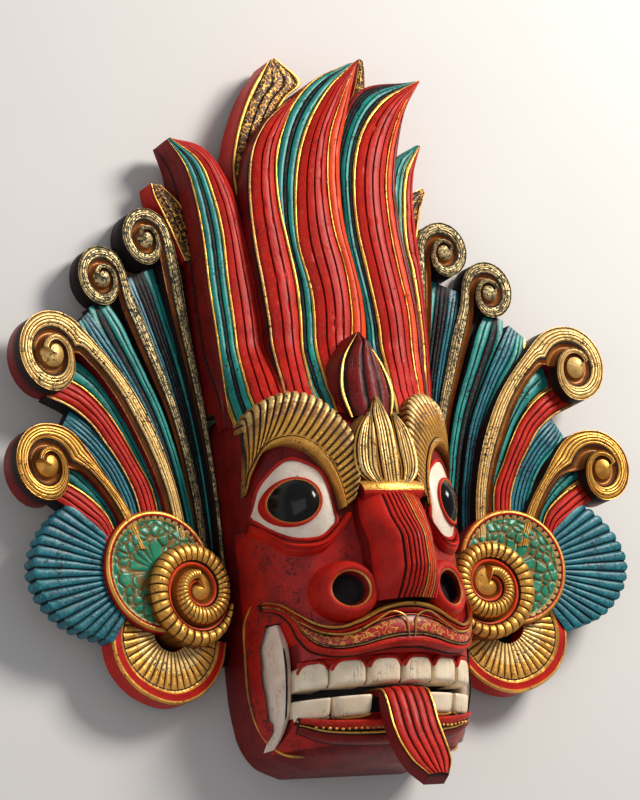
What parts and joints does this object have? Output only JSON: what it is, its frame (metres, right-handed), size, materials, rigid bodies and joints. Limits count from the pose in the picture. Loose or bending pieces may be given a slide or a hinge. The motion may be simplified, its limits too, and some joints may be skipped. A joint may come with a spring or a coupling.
{
  "type": "carved naga raksha mask",
  "caption": "Carved and painted naga raksha demon mask with a flame crest, two scrolled wings, bulging eyes, tusks and a hanging tongue, lying on its back.",
  "frame": {"origin": "on the flat back of the crest, on the midline of the face, where the mount crest_back is", "axes": "+X to the viewer's right as one faces the mask, +Y from the chin to the crest, +Z out of the face"},
  "size_m": [0.4362, 0.4861, 0.1265],
  "materials": {
    "red_lacquer": "painted red over carved light wood, gold and teal lines",
    "gold_wing": "gold leaf and teal paint over carved light wood",
    "tusk_white": "off-white paint, satin",
    "tongue_red": "red paint with gold edges, satin"
  },
  "bodies": {
    "root": {"face_block": "red_lacquer", "left_wing": "gold_wing", "right_wing": "gold_wing", "left_tusk": "tusk_white", "right_tusk": "tusk_white", "tongue": "tongue_red"}
  },
  "joints": []
}
